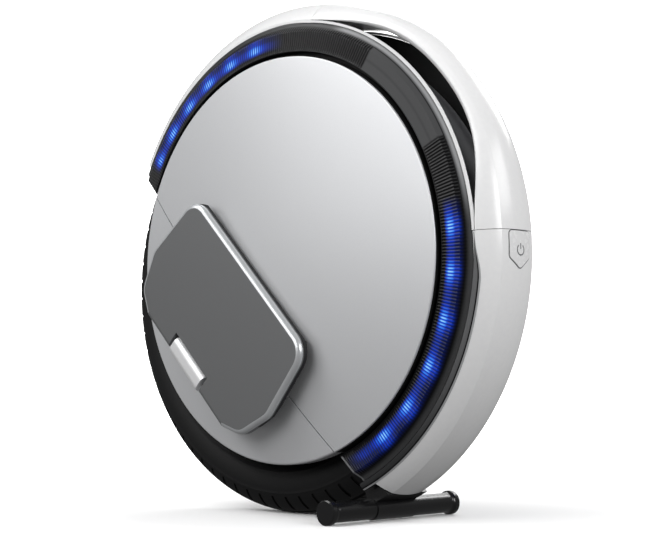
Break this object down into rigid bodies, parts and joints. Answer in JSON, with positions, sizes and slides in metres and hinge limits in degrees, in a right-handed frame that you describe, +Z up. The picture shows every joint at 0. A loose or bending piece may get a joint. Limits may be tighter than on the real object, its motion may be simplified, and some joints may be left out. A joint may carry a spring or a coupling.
{
  "type": "electric unicycle",
  "caption": "Electric unicycle leaning on its rear stand, with a hub-motor wheel, domed side covers, light rings, a carry handle and fold-down pedals.",
  "frame": {"origin": "on the floor under the axle, where the tyre touches it", "axes": "+Z up, +Y along the axle to the rider's right, +X to the rear, where the stand is"},
  "size_m": [0.4498, 0.16, 0.4493],
  "materials": {
    "tyre": "black rubber, moulded tread",
    "tube": "black butyl rubber",
    "alloy": "cast alloy, plain",
    "steel": "plain steel",
    "magnet": "nickel-plated magnet",
    "copper": "enamelled copper wire",
    "lamination": "stacked electrical steel",
    "valve_brass": "plain brass",
    "silver_cover": "satin silver-grey paint on plastic",
    "white_shell": "gloss white plastic",
    "smoke_lens": "smoked clear plastic, ribbed",
    "light_board": "black circuit board",
    "led": "blue LED",
    "black_frame": "black textured plastic",
    "grip_rubber": "dark grey soft rubber",
    "button_white": "gloss white plastic",
    "switch_black": "black plastic",
    "cap_white": "gloss white plastic",
    "pedal_alloy": "satin grey anodised casting",
    "hanger_alloy": "satin bright casting",
    "pedal_rubber": "black rubber foot pad",
    "cell": "blue sleeved lithium cell",
    "board_green": "green circuit board",
    "component_black": "black moulded components",
    "cable_black": "black cable sheath",
    "stand_black": "satin black paint on steel tube",
    "stand_plastic": "satin black plastic"
  },
  "bodies": {
    "chassis": {"stator_core": "lamination", "stator_coils": "copper", "axle": "steel", "bearing_inner_races": "steel", "axle_nuts": "steel", "rear_shell": "white_shell", "front_shell": "white_shell", "handle": "white_shell", "handle_pad": "grip_rubber", "power_switch": "switch_black", "port_cap_pin": "steel", "charge_inlet": "switch_black", "battery_cells": "cell", "heat_sink": "alloy", "control_board": "board_green", "control_board_parts": "component_black", "motor_cable": "cable_black", "stand_bracket": "stand_plastic", "stand_bar": "stand_black", "stand_feet": "stand_plastic", "stand_screws": "steel", "left_upper_cover": "silver_cover", "left_lower_cover": "silver_cover", "left_light_cover": "smoke_lens", "left_light_board": "light_board", "left_leds": "led", "left_frame": "black_frame", "left_handle_trim": "white_shell", "left_hanger": "hanger_alloy", "left_hinge_pin": "steel", "right_upper_cover": "silver_cover", "right_lower_cover": "silver_cover", "right_light_cover": "smoke_lens", "right_light_board": "light_board", "right_leds": "led", "right_frame": "black_frame", "right_handle_trim": "white_shell", "right_hanger": "hanger_alloy", "right_hinge_pin": "steel"},
    "wheel": {"tyre": "tyre", "inner_tube": "tube", "valve_stem": "valve_brass", "rim": "alloy", "left_motor_cover": "alloy", "right_motor_cover": "alloy", "motor_cover_screws": "steel", "rotor_back_iron": "steel", "rotor_magnets": "magnet", "bearing_outer_races": "steel", "bearing_balls": "steel"},
    "left_pedal": {"left_pedal": "pedal_alloy", "left_pedal_pad": "pedal_rubber"},
    "right_pedal": {"right_pedal": "pedal_alloy", "right_pedal_pad": "pedal_rubber"},
    "power_button": {"power_button": "button_white"},
    "port_cap": {"port_cap": "cap_white"}
  },
  "joints": [
    {"name": "wheel_spin", "type": "hinge", "parent": "chassis", "child": "wheel", "pos_m": [0, 0, 0.203], "axis": [0, 1, 0], "continuous": true},
    {"name": "left_pedal_fold", "type": "hinge", "parent": "chassis", "child": "left_pedal", "pos_m": [-0.07146, -0.0635, 0.13162], "axis": [0.7067, 0, -0.7075], "range_deg": [0, 88]},
    {"name": "right_pedal_fold", "type": "hinge", "parent": "chassis", "child": "right_pedal", "pos_m": [-0.07146, 0.0635, 0.13162], "axis": [-0.7067, 0, 0.7075], "range_deg": [0, 88]},
    {"name": "power_button_press", "type": "slide", "parent": "chassis", "child": "power_button", "axis": [-1, 0, 0.0018], "range_m": [0, 0.0012], "stiffness_N_per_m": 500, "springref_m": -0.002},
    {"name": "port_cap_hinge", "type": "hinge", "parent": "chassis", "child": "port_cap", "pos_m": [-0.01547, 0, 0.44462], "axis": [0, -1, 0], "range_deg": [0, 90]}
  ]
}
